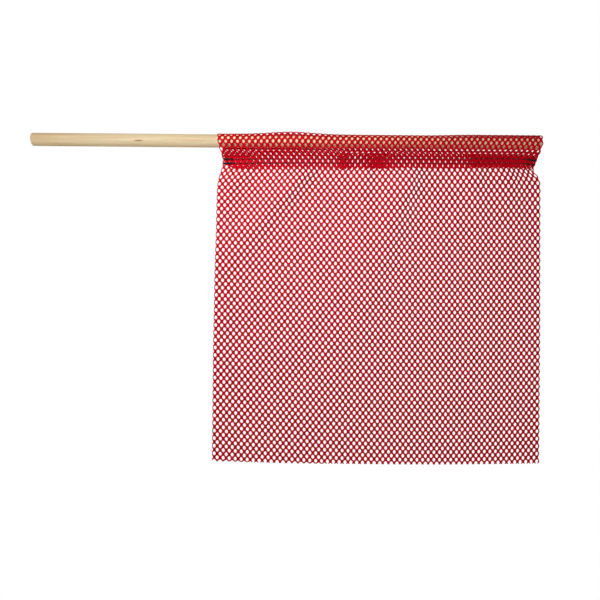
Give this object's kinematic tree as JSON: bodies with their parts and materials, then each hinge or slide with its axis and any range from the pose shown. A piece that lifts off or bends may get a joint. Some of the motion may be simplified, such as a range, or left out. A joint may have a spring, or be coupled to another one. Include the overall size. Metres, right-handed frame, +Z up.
{
  "type": "mesh warning flag on a wooden staff",
  "caption": "Square red net warning flag with a sewn sleeve on a plain round wooden staff, for marking loads, vehicles and ramp equipment.",
  "frame": {"origin": "centre of the staff's butt face, at the bare grip end", "axes": "+X along the staff from the grip to the tip, +Z up, the net hangs along -Z and its front faces -Y"},
  "size_m": [0.717, 0.0224, 0.4678],
  "materials": {
    "staff_wood": "satin",
    "net": "satin",
    "thread": "matte",
    "staple_wire": "satin"
  },
  "bodies": {
    "staff": {"staff": "staff_wood", "mesh_sleeve": "net", "needle_thread_upper": "thread", "needle_thread_lower": "thread", "bobbin_thread_upper": "thread", "bobbin_thread_lower": "thread", "back_tack_upper_grip_end": "thread", "back_tack_upper_tip_end": "thread", "back_tack_lower_grip_end": "thread", "back_tack_lower_tip_end": "thread", "staple_grip_end": "staple_wire", "staple_tip_end": "staple_wire"},
    "flag": {"mesh_panel": "net"}
  },
  "joints": [
    {"name": "flag_swing", "type": "hinge", "parent": "staff", "child": "flag", "pos_m": [0.4885, 0, -0.0427], "axis": [1, 0, 0], "range_deg": [-135, 135]}
  ]
}
